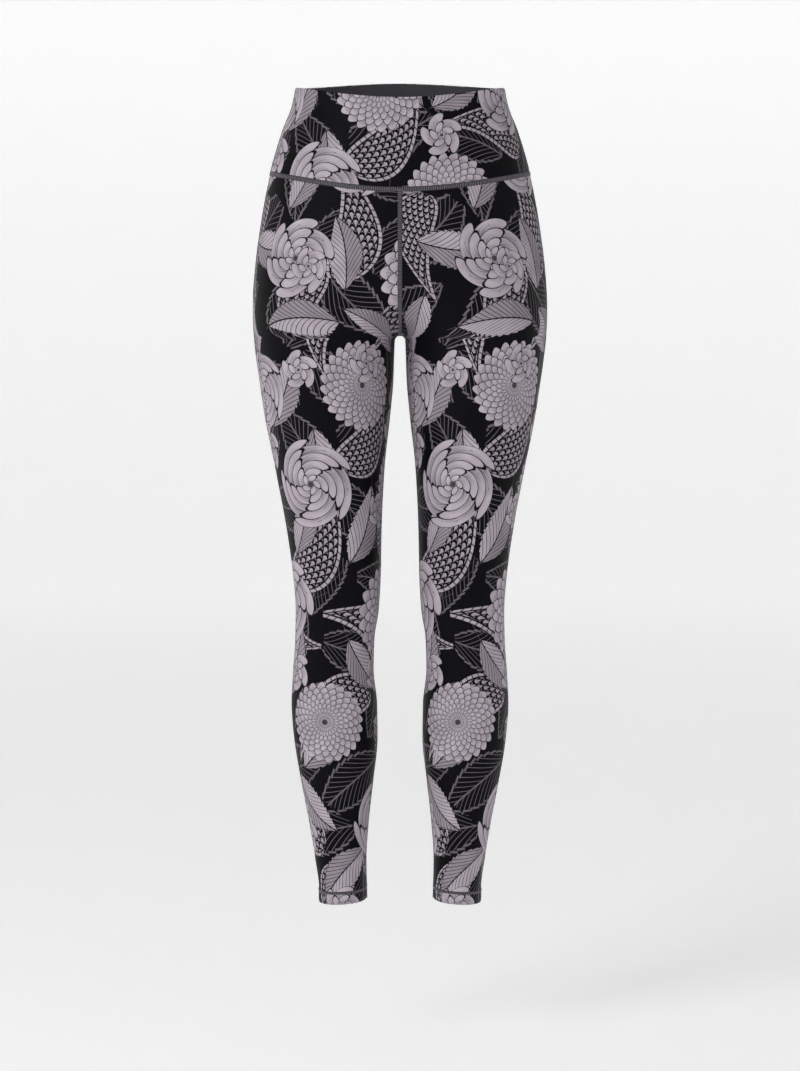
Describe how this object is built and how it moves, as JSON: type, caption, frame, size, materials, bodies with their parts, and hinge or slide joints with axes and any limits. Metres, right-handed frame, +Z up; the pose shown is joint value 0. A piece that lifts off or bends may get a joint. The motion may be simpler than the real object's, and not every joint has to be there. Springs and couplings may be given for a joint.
{
  "type": "pair of full-length high-waisted leggings, worn shape",
  "caption": "Full-length stretch leggings in their worn, hollow shape, with a deep waistband and turned hems.",
  "frame": {"origin": "middle of the waist opening, level with the top edge at the two sides, where the wearer holds the leggings up", "axes": "+X to the wearer's left, -Y to the wearer's front, +Z up"},
  "size_m": [0.3342, 0.2231, 0.937],
  "materials": {
    "printed_jersey": "matte warp-knit stretch jersey, near-black ground printed in lavender grey",
    "seam_thread": "dull twisted polyester sewing thread"
  },
  "bodies": {
    "root": {"waistband_front": "printed_jersey", "waistband_back": "printed_jersey", "leg_left": "printed_jersey", "leg_right": "printed_jersey"}
  },
  "joints": []
}
